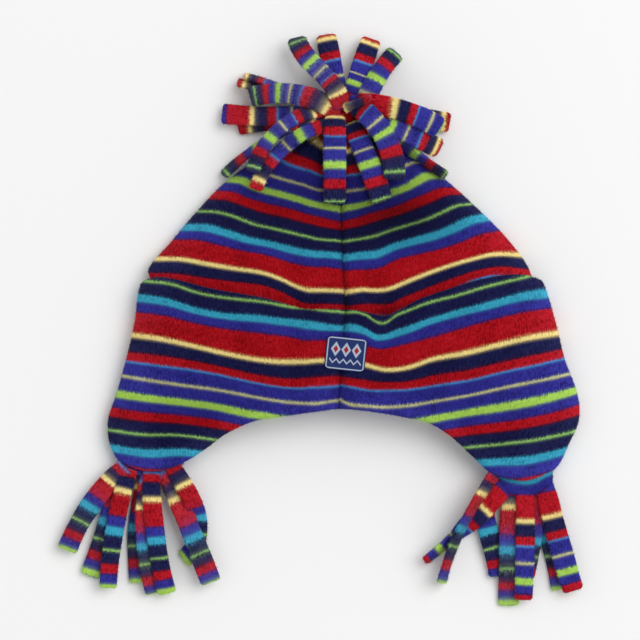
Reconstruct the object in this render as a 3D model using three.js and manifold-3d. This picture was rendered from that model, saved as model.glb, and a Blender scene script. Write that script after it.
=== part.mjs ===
// A child's striped fleece winter hat with ear flaps, lying flat on its back, front side up.
// Millimetres, +Z up. Inside the group the hat is drawn about its centre seam:
// X runs across the front, Y from the middle of the hem towards the crown, Z up from the table.
import * as THREE from "three";
import { mergeVertices } from "three/addons/utils/BufferGeometryUtils.js";
import Module from "manifold-3d";

const wasm = await Module();
wasm.setup();

// Driving dimensions
const CROWN_WALL = 3; // one layer of brushed fleece
const BAND_WALL = 5; // fleece with its fleece lining
const SEAM_GAP = 0.4; // between the two halves, and between pieces that touch
const EDGE_ROUND = 0.64; // how far a wall's cut edges are drawn in towards its middle
const TUCK = { depth: 14, slope: 20, sideLift: 4 }; // the crown inside the band, and its way down behind
const FOLD_REACH = 13; // width of the rounded fold at each side of the back
const SWELL = { power: 2.3, fall: 0.62 }; // how the front falls from the seam to the side fold
// One cut strip of a fringe. drape: its gap to the crown, leave: how far past the hem it comes down,
// rollBy: share of its length in which it turns on edge
const STRIP = { width: 11.5, thick: 2.6, steps: 9, drape: 1.2, leave: 4, rollBy: 0.4 };

// Steps of the walls: across the front and the back of a half, and along it. edge: share of the rounding
const CROWN_STEPS = { front: 12, back: 9, along: 12, edge: 0.012 };
const BAND_STEPS = { front: 14, back: 10, along: 9, edge: 0.022 };

// The band across its width, from the ends of the ear flaps to its top edge
const BAND_SECTIONS = [
  { y: -46, left: 122, right: 120, height: 20, edge: 8.2 },
  { y: -36, left: 132.4, right: 130, height: 21.5, edge: 8.2 },
  { y: -24, left: 139.2, right: 136, height: 24, edge: 8.2 },
  { y: -9, left: 140.4, right: 142.2, height: 28, edge: 8.5 },
  { y: 6, left: 135.6, right: 141.4, height: 32, edge: 9 },
  { y: 27, left: 129.6, right: 133.8, height: 36, edge: 10 },
  { y: 51, left: 124.2, right: 127.8, height: 37.5, edge: 10.5 },
  { y: 69, left: 121.8, right: 122.4, height: 37.5, edge: 10.5 },
  { y: 80, left: 118, right: 118, height: 36.5, edge: 10.5 },
];

// The hem and the top edge of the band, by share of the half width from the seam
const BAND_EDGES = [
  { across: 0, hemLeft: -1.4, hemRight: -1.4, topLeft: 56.5, topRight: 56.5 },
  { across: 0.14, hemLeft: -4.4, hemRight: -3.8, topLeft: 57, topRight: 52 },
  { across: 0.37, hemLeft: -9, hemRight: -10.2, topLeft: 63.5, topRight: 63 },
  { across: 0.5, hemLeft: -17, hemRight: -20.4, topLeft: 66.5, topRight: 68 },
  { across: 0.6, hemLeft: -26, hemRight: -30.6, topLeft: 68.5, topRight: 71.5 },
  { across: 0.7, hemLeft: -33, hemRight: -39.2, topLeft: 71, topRight: 74.5 },
  { across: 0.86, hemLeft: -39.3, hemRight: -44.6, topLeft: 75.5, topRight: 77.5 },
  { across: 0.95, hemLeft: -38.8, hemRight: -44.6, topLeft: 76, topRight: 77 },
  { across: 1, hemLeft: -35.6, hemRight: -40.4, topLeft: 73, topRight: 73 },
];

// The crown across its width, from inside the band to the gathered top
const CROWN_SECTIONS = [
  { y: 36, left: 116, right: 116, height: 28.4, edge: 6.5 },
  { y: 58, left: 117, right: 116, height: 29.4, edge: 6.5 },
  { y: 81, left: 116.4, right: 112.4, height: 30.5, edge: 6.5 },
  { y: 99, left: 101.8, right: 100, height: 30, edge: 6.5 },
  { y: 117, left: 86.5, right: 82.4, height: 28.5, edge: 6.5 },
  { y: 132, left: 72, right: 66, height: 26, edge: 6.5 },
  { y: 147, left: 52, right: 47, height: 23, edge: 6.5 },
  { y: 157, left: 34, right: 31, height: 20, edge: 6.5 },
  { y: 165, left: 13, right: 12, height: 16, edge: 7 },
];
const CROWN_TOP = CROWN_SECTIONS.at(-1).y;

// Dents of the front: where the seam is drawn in, and the soft folds beside it. x, y: middle
const DENTS = [
  { x: 0, y: 57, depth: 2.5, wide: 7, tall: 9 },
  { x: 0, y: 0, depth: 3, wide: 9, tall: 8 },
  { x: 24.5, y: 51, depth: 5, wide: 10, tall: 9 },
  { x: -24, y: 58, depth: 3, wide: 11, tall: 8 },
];

// The woven label on the front of the band, turned a little on the seam
const LABEL = { x: 1.8, y: 31.5, width: 22.8, height: 20, thick: 1, turn: -5, corner: 2.6 };
const LABEL_STEPS = { places: 8, rows: 6 };

// The fringe at the crown's top: strips leave the knot in all directions.
// x, y: root; heading, turn: degrees in plan; start, crest, tip: heights; roll: degrees on edge
const KNOT = { x: 0.6, y: 177, z: 17, rx: 12, ry: 10, rz: 9 };
const NECK = { half: 5, from: 160, to: 176, z: 8.2, thick: 5 };
const TOP_FRINGE = [
  { x: 0, y: 178, heading: 124, turn: 4, length: 50, start: 22, crest: 26, tip: 4, roll: 8 },
  { x: -1, y: 180, heading: 103, turn: -3, length: 43, start: 16, crest: 18, tip: 1.5, roll: 0 },
  { x: 4, y: 180, heading: 71, turn: 0, length: 42, start: 16, crest: 17, tip: 1.5, roll: 0 },
  { x: 8, y: 178, heading: 62, turn: -22, length: 41, start: 17, crest: 19, tip: 2, roll: -20 },
  { x: -4, y: 178, heading: 159, turn: 5, length: 58, start: 14, crest: 14, tip: 6, roll: 78 },
  { x: -4, y: 177, heading: 161, turn: 6, length: 61, start: 11, crest: 10, tip: 5, roll: 60 },
  { x: -3, y: 175, heading: 153, turn: 34, length: 55, start: 24, crest: 25, tip: 6, roll: -10 },
  { x: -6, y: 174.5, heading: 184, turn: -10, length: 66, start: 14, crest: 13, tip: 6, roll: 10 },
  { x: -7, y: 177, heading: 183, turn: 72, length: 64, start: 23, crest: 34, tip: 20, roll: 30 },
  { x: -12, y: 172, heading: 195, turn: 30, length: 69, start: 18, crest: 20, tip: 6, roll: 40 },
  { x: -5, y: 168, heading: 190, turn: 52, length: 62, start: 20, crest: 26, tip: 22, roll: 18 },
  { x: -3, y: 174, heading: 271, turn: -2, length: 52, start: 22, crest: 32, tip: 28, roll: 0 },
  { x: 6, y: 169, heading: 293, turn: -4, length: 49, start: 19, crest: 27, tip: 27, roll: 0 },
  { x: 9, y: 178, heading: 326, turn: -58, length: 51, start: 23, crest: 36, tip: 31, roll: 0 },
  { x: 14, y: 173, heading: 321, turn: 2, length: 58, start: 17, crest: 22, tip: 8, roll: 62 },
  { x: 5, y: 179, heading: 2, turn: -34, length: 56, start: 23, crest: 28, tip: 8, roll: 6 },
  { x: 5, y: 178, heading: 356, turn: -3, length: 60, start: 15, crest: 14, tip: 4, roll: 14 },
  { x: 12, y: 175, heading: 336, turn: -2, length: 51, start: 16, crest: 16, tip: 4, roll: -8 },
  { x: -6, y: 172.5, heading: 185, turn: 3, length: 57, start: 11, crest: 8, tip: 3, roll: 0 },
];

// The fringes of the ear flaps: an uncut heading held inside the flap, and strips that lie on the table
const FLAP_HEADING = { insideWidth: 23, inside: 7, outside: 9, thick: 3, z: 7.5 };
const LEFT_FRINGE = {
  middle: { x: -110, y: -38 },
  headingWidth: 46,
  strips: [
    { x: -23.5, y: -2.2, heading: 238, turn: -6, length: 59, start: 7.4, crest: 6, tip: 1.6, roll: 6 },
    { x: -22.5, y: -5, heading: 253, turn: -4, length: 60, start: 7, crest: 3, tip: 1.3, roll: 0 },
    { x: -18.5, y: -3.5, heading: 253, turn: 14, length: 68, start: 7.5, crest: 7, tip: 3.6, roll: 0 },
    { x: -9, y: -2, heading: 256, turn: 22, length: 67.5, start: 7, crest: 3, tip: 1.3, roll: 16 },
    { x: -6, y: 1, heading: 260, turn: 22, length: 77, start: 7.2, crest: 4, tip: 1.5, roll: -12 },
    { x: -4.5, y: 2, heading: 270, turn: 14, length: 77, start: 8, crest: 8, tip: 3.6, roll: 0 },
    { x: 3, y: 2, heading: 293, turn: -2, length: 76, start: 8, crest: 9, tip: 3.6, roll: -8 },
    { x: 12, y: 3, heading: 315, turn: -84, length: 61, start: 7.4, crest: 6, tip: 1.4, roll: 34 },
  ],
};
const RIGHT_FRINGE = {
  middle: { x: 104, y: -44 },
  headingWidth: 37,
  strips: [
    { x: -12, y: 2, heading: 233, turn: 26, length: 73, start: 8, crest: 12, tip: 7, roll: 58 },
    { x: -7, y: 1, heading: 234, turn: -10, length: 67, start: 7, crest: 4, tip: 4, roll: 44 },
    { x: -4, y: 1, heading: 233, turn: 64, length: 64, start: 7.8, crest: 8, tip: 1.8, roll: -34 },
    { x: -1, y: 1, heading: 265, turn: 6, length: 76, start: 7.2, crest: 4, tip: 1.6, roll: 6 },
    { x: 5, y: 2, heading: 272, turn: -4, length: 74, start: 8, crest: 8, tip: 3.6, roll: 0 },
    { x: 14, y: -4, heading: 264, turn: -4, length: 56, start: 7, crest: 2, tip: 1.3, roll: 0 },
    { x: 17, y: -4, heading: 284, turn: 4, length: 64, start: 7.5, crest: 8, tip: 3.4, roll: 6 },
    { x: 8, y: 1, heading: 293, turn: -14, length: 70, start: 7, crest: 2, tip: 1.3, roll: 0 },
  ],
};

const SIDES = { left: -1, right: 1 };
const radians = THREE.MathUtils.degToRad;
const smooth = THREE.MathUtils.smoothstep;
const blend = THREE.MathUtils.lerp;

// A smooth reading of one column of a table, by another column
function column(table, by, name) {
  const places = table.map((row) => row[by]);
  const values = table.map((row) => row[name]);
  const curve = new THREE.CubicInterpolant(places, values, 1, new Float64Array(1));
  return (place) => curve.evaluate(THREE.MathUtils.clamp(place, places[0], places.at(-1)))[0];
}

function columns(table, by) {
  const names = Object.keys(table[0]).filter((name) => name !== by);
  return Object.fromEntries(names.map((name) => [name, column(table, by, name)]));
}

const band = columns(BAND_SECTIONS, "y");
const crown = columns(CROWN_SECTIONS, "y");
const bandEdge = columns(BAND_EDGES, "across");
const hemAt = (side, across) => (side === "left" ? bandEdge.hemLeft : bandEdge.hemRight)(across);
const bandTopAt = (side, across) => (side === "left" ? bandEdge.topLeft : bandEdge.topRight)(across);

// Height of the front of a flattened tube, and of its back with a rounded fold at the side
function frontHeight(across, edge, height) {
  return edge + (height - edge) * (1 - across ** SWELL.power) ** SWELL.fall;
}

function backHeight(across, edge, base, half) {
  const flatShare = 1 - Math.min(FOLD_REACH, half) / half;
  const up = THREE.MathUtils.clamp((across - flatShare) / (1 - flatShare), 0, 1);
  return base + (edge - base) * (1 - Math.sqrt(1 - up * up));
}

function dentAt(x, y) {
  return DENTS.reduce((sum, dent) => {
    const away = ((x - dent.x) / dent.wide) ** 2 + ((y - dent.y) / dent.tall) ** 2;
    return sum + dent.depth * Math.exp(-away);
  }, 0);
}

// One point of a half tube. inset moves it into the wall
function tubePoint(side, size, { across, front }, y, inset) {
  const half = size.half - inset;
  const x = SIDES[side] * blend(SEAM_GAP / 2, half, across);
  const z = front
    ? frontHeight(across, size.edge, size.height - inset) - dentAt(x, y)
    : backHeight(across, size.edge, size.base + inset, half);
  return new THREE.Vector3(x, y, z);
}

function bandSize(side, across, y) {
  return { half: band[side](y), height: band.height(y), edge: band.edge(y), base: 0 };
}

// Inside the band the crown keeps clear of its walls, and above it the back comes down to the table
function crownSize(side, across, y) {
  const above = y - bandTopAt(side, across);
  const lift = 1 - smooth(above, 1, TUCK.slope);
  const base = (BAND_WALL + SEAM_GAP) * lift;
  const room = band[side](y) - BAND_WALL - SEAM_GAP;
  const half = blend(crown[side](y), Math.min(crown[side](y), room), lift);
  return { half, height: crown.height(y), edge: crown.edge(y) + TUCK.sideLift * lift, base };
}

// Places round a half tube from the front seam, over the side fold, to the back seam
function placesRound(steps) {
  const quarter = Math.PI / 2;
  const front = Array.from({ length: steps.front + 1 }, (_, i) => ({
    across: Math.sin(quarter * (i / steps.front)),
    front: true,
  }));
  const back = Array.from({ length: steps.back }, (_, i) => ({
    across: Math.sin(quarter * (1 - (i + 1) / steps.back)),
    front: false,
  }));
  return [...front, ...back];
}

// Rows along a wall, from its lower edge to its upper one. pinch rounds those two edges
function rowsAlong(steps) {
  const rows = Array.from({ length: steps.along + 1 }, (_, i) => ({
    share: blend(steps.edge, 1 - steps.edge, i / steps.along),
    pinch: 0,
  }));
  return [{ share: 0, pinch: EDGE_ROUND }, ...rows, { share: 1, pinch: EDGE_ROUND }];
}

// A closed wall between two grids of points, rows of places, with its four edges joined
function closedWall(outer, inner, turned) {
  const rows = outer.length;
  const places = outer[0].length;
  const points = [...outer.flat(), ...inner.flat()];
  const out = (i, j) => j * places + i;
  const inn = (i, j) => rows * places + j * places + i;
  const triangles = [];
  const quad = (a, b, c, d) => triangles.push(...(turned ? [a, c, b, a, d, c] : [a, b, c, a, c, d]));
  for (let j = 0; j < rows - 1; j++) {
    for (let i = 0; i < places - 1; i++) {
      quad(out(i, j), out(i + 1, j), out(i + 1, j + 1), out(i, j + 1));
      quad(inn(i, j), inn(i, j + 1), inn(i + 1, j + 1), inn(i + 1, j));
    }
    quad(out(0, j), out(0, j + 1), inn(0, j + 1), inn(0, j));
    quad(out(places - 1, j + 1), out(places - 1, j), inn(places - 1, j), inn(places - 1, j + 1));
  }
  for (let i = 0; i < places - 1; i++) {
    quad(out(i + 1, 0), out(i, 0), inn(i, 0), inn(i + 1, 0));
    quad(out(i, rows - 1), out(i + 1, rows - 1), inn(i + 1, rows - 1), inn(i, rows - 1));
  }
  return new THREE.BufferGeometry()
    .setAttribute("position", new THREE.Float32BufferAttribute(points.flatMap((p) => p.toArray()), 3))
    .setIndex(triangles);
}

// Half of a fleece tube, from its lower edge to its upper one
function halfTube(side, sizeOf, lower, upper, thick, steps) {
  const around = placesRound(steps);
  const along = rowsAlong(steps);
  const grid = (inset) =>
    along.map(({ share, pinch }) =>
      around.map((place) => {
        const y = blend(lower(place.across), upper(place.across), share);
        const size = sizeOf(side, place.across, y);
        return tubePoint(side, size, place, y, blend(inset, thick / 2, pinch));
      }),
    );
  return closedWall(grid(0), grid(thick), side === "left");
}

function crownHalf(side) {
  const lower = (across) => bandTopAt(side, across) - TUCK.depth;
  const upper = () => CROWN_TOP;
  return halfTube(side, crownSize, lower, upper, CROWN_WALL, CROWN_STEPS);
}

function bandHalf(side) {
  const lower = (across) => hemAt(side, across);
  const upper = (across) => bandTopAt(side, across);
  return halfTube(side, bandSize, lower, upper, BAND_WALL, BAND_STEPS);
}

// Height of the front of a tube above a point of the table, or zero beside it
function frontOver(x, y, sizeOf) {
  const side = x < 0 ? "left" : "right";
  const half = sizeOf(side, 0.5, y).half;
  const across = Math.abs(x) / half;
  if (across >= 1) return 0;
  const size = sizeOf(side, across, y);
  return frontHeight(across, size.edge, size.height) - dentAt(x, y);
}

function crownUnder(x, y) {
  const height = y > CROWN_TOP ? 0 : frontOver(x, y, crownSize);
  return height > 0 ? height + STRIP.drape : 0;
}

// Inside an ear flap a strip stays clear of the flap's back layer until it is past the hem
function flapUnder(x, y) {
  const side = x < 0 ? "left" : "right";
  const half = band[side](y);
  const across = Math.min(Math.abs(x) / (half - BAND_WALL), 1);
  const pastHem = y < hemAt(side, across) - STRIP.leave;
  return pastHem ? 0 : backHeight(across, band.edge(y), BAND_WALL, half - BAND_WALL) + SEAM_GAP;
}

// The label follows the front of the band
function labelGeometry() {
  const { places, rows } = LABEL_STEPS;
  const middle = new THREE.Vector2(0, 0);
  const cornerCut = (u, v) => {
    const toSide = (1 - Math.abs(u)) * (LABEL.width / 2);
    const toEnd = (1 - Math.abs(v)) * (LABEL.height / 2);
    return toSide < LABEL.corner && toEnd < LABEL.corner ? LABEL.corner * (1 - Math.SQRT1_2) : 0;
  };
  const grid = (lift) =>
    Array.from({ length: rows + 1 }, (_, j) =>
      Array.from({ length: places + 1 }, (_, i) => {
        const u = (2 * i) / places - 1;
        const v = (2 * j) / rows - 1;
        const cut = cornerCut(u, v);
        const local = new THREE.Vector2(
          u * (LABEL.width / 2) - Math.sign(u) * cut,
          v * (LABEL.height / 2) - Math.sign(v) * cut,
        ).rotateAround(middle, radians(LABEL.turn));
        const x = LABEL.x + local.x;
        const y = LABEL.y + local.y;
        return new THREE.Vector3(x, y, frontOver(x, y, bandSize) + SEAM_GAP + lift);
      }),
    );
  return closedWall(grid(LABEL.thick), grid(0), false);
}

// One strip of fleece. Its plan is an arc, and it stays above the table and above what it lies on
function stripGeometry(row, under) {
  const { width, thick, steps } = STRIP;
  const middle = new THREE.Vector2(row.x, row.y);
  const line = [];
  for (let k = 0; k <= steps; k++) {
    const t = k / steps;
    const heading = radians(row.heading + row.turn * t);
    const roll = radians(row.roll * smooth(t, 0, STRIP.rollBy));
    const flat = Math.cos(roll);
    const side = new THREE.Vector3(-Math.sin(heading) * flat, Math.cos(heading) * flat, Math.sin(roll));
    const reach = width / 2;
    const halfRise = reach * Math.abs(side.z) + (thick / 2) * flat;
    const wished = (1 - t) ** 2 * row.start + 2 * t * (1 - t) * row.crest + t * t * row.tip;
    const below = [-reach, 0, reach].map((s) => under(middle.x + s * side.x, middle.y + s * side.y));
    const z = Math.max(wished, Math.max(...below) + halfRise);
    line.push({ point: new THREE.Vector3(middle.x, middle.y, z), side });
    const ahead = radians(row.heading + row.turn * (t + 0.5 / steps));
    middle.x += (row.length / steps) * Math.cos(ahead);
    middle.y += (row.length / steps) * Math.sin(ahead);
  }
  const corners = line.map(({ point, side }, k) => {
    const before = line[Math.max(k - 1, 0)].point;
    const after = line[Math.min(k + 1, steps)].point;
    const face = after.clone().sub(before).normalize().cross(side).normalize();
    const across = side.clone().multiplyScalar(width / 2);
    const through = face.multiplyScalar(thick / 2);
    return [
      point.clone().sub(across).sub(through),
      point.clone().add(across).sub(through),
      point.clone().add(across).add(through),
      point.clone().sub(across).add(through),
    ];
  });
  return ribbonOf(corners);
}

// A closed bar through sections of four corners
function ribbonOf(sections) {
  const triangles = [];
  const last = sections.length - 1;
  for (let k = 0; k < last; k++) {
    for (let c = 0; c < 4; c++) {
      const next = (c + 1) % 4;
      const [a, b, d, e] = [k * 4 + c, k * 4 + next, (k + 1) * 4 + next, (k + 1) * 4 + c];
      triangles.push(a, b, d, a, d, e);
    }
  }
  triangles.push(0, 2, 1, 0, 3, 2);
  triangles.push(last * 4, last * 4 + 1, last * 4 + 2, last * 4, last * 4 + 2, last * 4 + 3);
  const points = sections.flat().flatMap((p) => p.toArray());
  return new THREE.BufferGeometry()
    .setAttribute("position", new THREE.Float32BufferAttribute(points, 3))
    .setIndex(triangles);
}

function solidOf(geometry) {
  const bare = geometry.clone();
  bare.deleteAttribute("normal");
  bare.deleteAttribute("uv");
  const merged = mergeVertices(bare, 1e-4);
  return new wasm.Manifold(
    new wasm.Mesh({
      numProp: 3,
      vertProperties: merged.attributes.position.array,
      triVerts: new Uint32Array(merged.index.array),
    }),
  );
}

// One body from several. A pocket closed in between strips is filled
function fused(geometries) {
  const whole = geometries.map(solidOf).reduce((sum, solid) => sum.add(solid));
  const shells = whole.decompose().sort((a, b) => b.volume() - a.volume());
  const mesh = shells[0].getMesh();
  return new THREE.BufferGeometry()
    .setAttribute("position", new THREE.BufferAttribute(new Float32Array(mesh.vertProperties), 3))
    .setIndex(new THREE.BufferAttribute(new Uint32Array(mesh.triVerts), 1));
}

// The knot of the top fringe, with a neck that plugs the gathered crown
function topFringe() {
  const knot = new THREE.SphereGeometry(1, 14, 9);
  knot.scale(KNOT.rx, KNOT.ry, KNOT.rz).translate(KNOT.x, KNOT.y, KNOT.z);
  const neck = new THREE.BoxGeometry(2 * NECK.half, NECK.to - NECK.from, NECK.thick);
  neck.translate(0, (NECK.to + NECK.from) / 2, NECK.z);
  return fused([knot, neck, ...TOP_FRINGE.map((row) => stripGeometry(row, crownUnder))]);
}

function flapFringe({ middle, headingWidth, strips }) {
  const { insideWidth, inside, outside, thick, z } = FLAP_HEADING;
  const outline = new THREE.Shape([
    new THREE.Vector2(-headingWidth / 2, -outside),
    new THREE.Vector2(headingWidth / 2, -outside),
    new THREE.Vector2(insideWidth / 2, 0),
    new THREE.Vector2(insideWidth / 2, inside),
    new THREE.Vector2(-insideWidth / 2, inside),
    new THREE.Vector2(-insideWidth / 2, 0),
  ]);
  const heading = new THREE.ExtrudeGeometry(outline, { depth: thick, bevelEnabled: false });
  heading.translate(middle.x, middle.y, z - thick / 2);
  const rows = strips.map((row) => ({ ...row, x: middle.x + row.x, y: middle.y + row.y }));
  return fused([heading, ...rows.map((row) => stripGeometry(row, flapUnder))]);
}

const fleece = (colour) => new THREE.MeshStandardMaterial({ color: colour, roughness: 0.95, metalness: 0 });
const wovenLabel = new THREE.MeshStandardMaterial({ color: 0x223a73, roughness: 0.6, metalness: 0 });

function piece(name, geometry, material) {
  geometry.computeVertexNormals();
  const mesh = new THREE.Mesh(geometry, material);
  mesh.name = name;
  return mesh;
}

const hat = new THREE.Group();
for (const side of Object.keys(SIDES)) {
  hat.add(piece(`crown_${side}`, crownHalf(side), fleece(0x2c2680)));
  hat.add(piece(`band_${side}`, bandHalf(side), fleece(0xa5121c)));
}
hat.add(piece("label", labelGeometry(), wovenLabel));
hat.add(piece("top_fringe", topFringe(), fleece(0x3026a0)));
hat.add(piece("flap_fringe_left", flapFringe(LEFT_FRINGE), fleece(0x14143c)));
hat.add(piece("flap_fringe_right", flapFringe(RIGHT_FRINGE), fleece(0x14143c)));

// The origin is on the table, under the middle of the lying hat
const box = new THREE.Box3().setFromObject(hat);
const centre = box.getCenter(new THREE.Vector3());
hat.position.set(-centre.x, -centre.y, -box.min.z);

const part = new THREE.Group();
part.add(hat);
export default part;
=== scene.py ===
import math

import bpy
import numpy as np
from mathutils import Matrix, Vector


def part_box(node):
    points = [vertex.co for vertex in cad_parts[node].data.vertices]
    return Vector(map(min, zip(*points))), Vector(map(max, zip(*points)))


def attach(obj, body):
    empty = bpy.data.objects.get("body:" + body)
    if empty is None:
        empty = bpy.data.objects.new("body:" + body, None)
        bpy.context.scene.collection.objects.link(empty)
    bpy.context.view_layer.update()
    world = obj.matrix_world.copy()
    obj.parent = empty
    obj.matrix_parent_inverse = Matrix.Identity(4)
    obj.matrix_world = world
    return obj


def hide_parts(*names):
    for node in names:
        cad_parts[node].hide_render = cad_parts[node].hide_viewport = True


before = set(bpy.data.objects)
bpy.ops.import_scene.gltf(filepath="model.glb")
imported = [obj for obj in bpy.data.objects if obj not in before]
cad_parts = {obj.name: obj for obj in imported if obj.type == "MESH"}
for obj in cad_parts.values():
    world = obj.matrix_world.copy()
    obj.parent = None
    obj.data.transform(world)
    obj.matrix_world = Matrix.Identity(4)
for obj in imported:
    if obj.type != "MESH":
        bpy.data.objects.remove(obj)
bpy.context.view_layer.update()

mm = 0.001
draws = np.random.default_rng(23)

# The hat is drawn in millimetres about its centre seam: x across, y from the hem to the crown, z up
hat = {
    "crownTop": 165.0,  # y where the crown is gathered
    "crownEnd": 170.0,  # y of its last edge, inside the knot
    "seamGap": 0.06,  # between the two halves
    "crownWall": 3.0,
    "bandWall": 5.0,
    "foldReach": 13.0,  # width of the rounded fold at each side of the back
    "swellPower": 2.3,  # how the front falls from the seam to the side fold
    "swellFall": 0.62,
    "tuckDepth": 14.0,  # the crown inside the band, and its way down behind it
    "tuckSlope": (1, 20),  # mm above the band's top edge
    "tuckNear": (-2, 7),  # where the crown gives way to the band
    "tuckSideLift": 4.0,
    "gatherLift": 7.0,  # the back rises to the knot, between these y
    "gatherOver": (156, 171),
}
hatX = (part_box("band_left")[1].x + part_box("band_right")[0].x) / 2 / mm
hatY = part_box("crown_left")[1].y / mm - hat["crownTop"]


def smoothCurve(places, values):
    places, values = np.asarray(places, float), np.asarray(values, float)
    last = len(places) - 1

    def at(place):
        place = np.clip(np.asarray(place, float), places[0], places[-1])
        after = np.clip(np.searchsorted(places, place, side="right"), 1, last)
        start, end = places[after - 1], places[after]
        first, final = after == 1, after == last
        before = np.where(first, after, after - 2)
        beyond = np.where(final, after - 1, np.minimum(after + 1, last))
        reach = (end - start) / 2
        gapBefore = np.where(first, start - end, start - places[np.maximum(after - 2, 0)])
        gapBeyond = np.where(final, start - end, places[np.minimum(after + 1, last)] - end)
        p, n = reach / gapBefore, reach / gapBeyond
        t = (place - start) / (end - start)
        return (
            (-p * t**3 + 2 * p * t**2 - p * t) * values[before]
            + ((1 + p) * t**3 + (-1.5 - 2 * p) * t**2 + (-0.5 + p) * t + 1) * values[after - 1]
            + ((-1 - n) * t**3 + (1.5 + n) * t**2 + 0.5 * t) * values[after]
            + (n * t**3 - n * t**2) * values[beyond]
        )

    return at


def curves(names, rows):
    rows = np.array(rows, float)
    return {name: smoothCurve(rows[:, 0], rows[:, i]) for i, name in enumerate(names.split()) if i}


def blendTo(a, b, share):
    return a + (b - a) * share


def easeBetween(value, low, high):
    t = np.clip((value - low) / (high - low), 0, 1)
    return t * t * (3 - 2 * t)


# A soft bump, 1 in its middle
def bell(*offsets):
    return np.exp(-sum(offset**2 for offset in offsets))


# The same from a pair of strength and reach
def fall(look, distance):
    return look[0] * bell(distance / look[1])


def runningSum(steps):
    return np.concatenate([np.zeros((1, *steps.shape[1:])), np.cumsum(steps, 0)])


# The band from the ends of the ear flaps to its top edge, and its edges by share of the half width
bandForm = curves("y left right height edge", [
    (-46, 122, 120, 20, 8.2),
    (-36, 132.4, 130, 21.5, 8.2),
    (-24, 139.2, 136, 24, 8.2),
    (-9, 140.4, 142.2, 28, 8.5),
    (6, 135.6, 141.4, 32, 9),
    (27, 129.6, 133.8, 36, 10),
    (51, 124.2, 127.8, 37.5, 10.5),
    (69, 121.8, 122.4, 37.5, 10.5),
    (80, 118, 118, 36.5, 10.5),
])
bandEdges = curves("across hemLeft hemRight topLeft topRight", [
    (0, -2.0, -2.0, 57, 57.2),
    (0.05, -2.6, -2.4, 57.4, 56.8),
    (0.1, -3.6, -3.0, 57.4, 55.6),
    (0.15, -4.5, -4.0, 57.3, 54.2),
    (0.186, -5.2, -4.8, 57.5, 53.4),
    (0.22, -5.9, -5.6, 58.2, 54.2),
    (0.27, -6.9, -7.0, 60.0, 57.2),
    (0.37, -9, -10.2, 63.5, 63.2),
    (0.5, -17, -20.4, 66.5, 68.5),
    (0.6, -26, -30.6, 68.5, 72.1),
    (0.7, -33, -39.2, 71, 75.1),
    (0.86, -39.3, -44.6, 75.5, 78.1),
    (0.95, -38.8, -44.6, 76.5, 77.7),
    (1, -35.6, -40.4, 75, 75.5),
])
# The crown from inside the band to its gathered end, which goes into the knot
crownForm = curves("y left right height edge", [
    (36, 116, 116, 28.4, 6.5),
    (58, 117, 116, 29.4, 6.5),
    (81, 116.4, 112.4, 30.5, 6.5),
    (99, 101.8, 100, 30, 6.5),
    (117, 86.5, 82.4, 28.5, 6.5),
    (132, 72, 66, 26, 6.5),
    (147, 52, 47, 23, 6.5),
    (157, 34, 31, 20, 6.5),
    (165, 13, 12, 16, 7),
    (172, 9, 9, 17, 11),
])
sideSign = {"left": -1, "right": 1}

# Dents of the front: x, y, depth, width, height
dents = [
    (0, 57, 1.6, 7, 9),
    (0, 0, 3, 9, 8),
    (24.5, 51, 5, 10, 9),
    (-24, 58, 2, 11, 8),
]
# What shows only close up: the sewn groove, ripples, and the pleats under the knot
ease = {
    "groove": (2.3, 2.4),  # depth, and mm from the seam
    "backGroove": 0.4,  # share of it behind
    "seamShade": (0.12, 1.6),  # painted shade along the seam's valley, and more of it at the hem
    "seamHem": (1.5, 5.0),
    "seamCreviceShade": (0.5, 0.6),  # painted shade: a dark line in the crevice where the panels meet
    "hemLight": (0.4, 9.0),  # painted light along the hem and, with foldLight, towards the side folds
    "foldLight": 0.6,
    "paintedShade": [  # painted shade: x, y, depth, width, height; the tuft's shadow on the crown and a darker patch by the left flap
        (-6, 130, 0.55, 52, 18),
        (32, 112, 0.55, 32, 15),
        (-98, -6, 0.22, 40, 14),
    ],
    "ripple": 0.45,
    "flatSide": 0.12,  # ripples end over this share of the half width at the side fold
    "pleats": 11,
    "pleatDepth": 0.9,
    "pleatOver": (146, 163),  # they grow between these y
    "pleatEnd": 0.2,
    "creases": [  # x, y, depth, length, width, turn in degrees
        (23, 52.5, 1.6, 13, 2.2, 28),
        (-24, 57.5, 0.7, 14, 2.4, -12),
        (0, 54, 0.5, 8, 2.0, 0),
        (40, 27, 0.7, 26, 5, 12),
        (-46, 30, 0.7, 30, 6, -14),
        (-34, 84, 0.8, 26, 5, -30),
        (36, 86, 0.8, 26, 5, 30),
    ],
}


def hemAt(side, across):
    return bandEdges["hem" + side.capitalize()](across)


def bandTopAt(side, across):
    return bandEdges["top" + side.capitalize()](across)


def frontHeight(across, edge, height):
    return edge + (height - edge) * np.clip(1 - across ** hat["swellPower"], 0, 1) ** hat["swellFall"]


def backHeight(across, edge, base, half):
    flat = 1 - np.minimum(hat["foldReach"], half) / half
    up = np.clip((across - flat) / (1 - flat), 0, 1)
    return base + (edge - base) * (1 - np.sqrt(1 - up * up))


def bumpsAt(x, y, bumps):
    total = 0
    for bx, by, depth, long, wide, *turned in bumps:
        turn = math.radians(sum(turned))
        along = (x - bx) * math.cos(turn) + (y - by) * math.sin(turn)
        over = (y - by) * math.cos(turn) - (x - bx) * math.sin(turn)
        total = total + depth * bell(along / long, over / wide)
    return total


# Two uneven waves, a slow and a quick one
def rippleAt(x, y):
    slow = np.sin(x / 11.3 + 1.1 * np.sin(y / 17.0)) * np.cos(y / 13.7 + 0.8)
    quick = np.sin(x / 5.1 - y / 9.3 + 0.7 * np.sin(x / 23.0)) * np.sin(y / 6.7 + x / 31.0)
    return ease["ripple"] * (slow + 0.6 * quick)


def bandSize(side, across, y):
    return bandForm[side](y), bandForm["height"](y), bandForm["edge"](y), 0 * y


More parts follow.
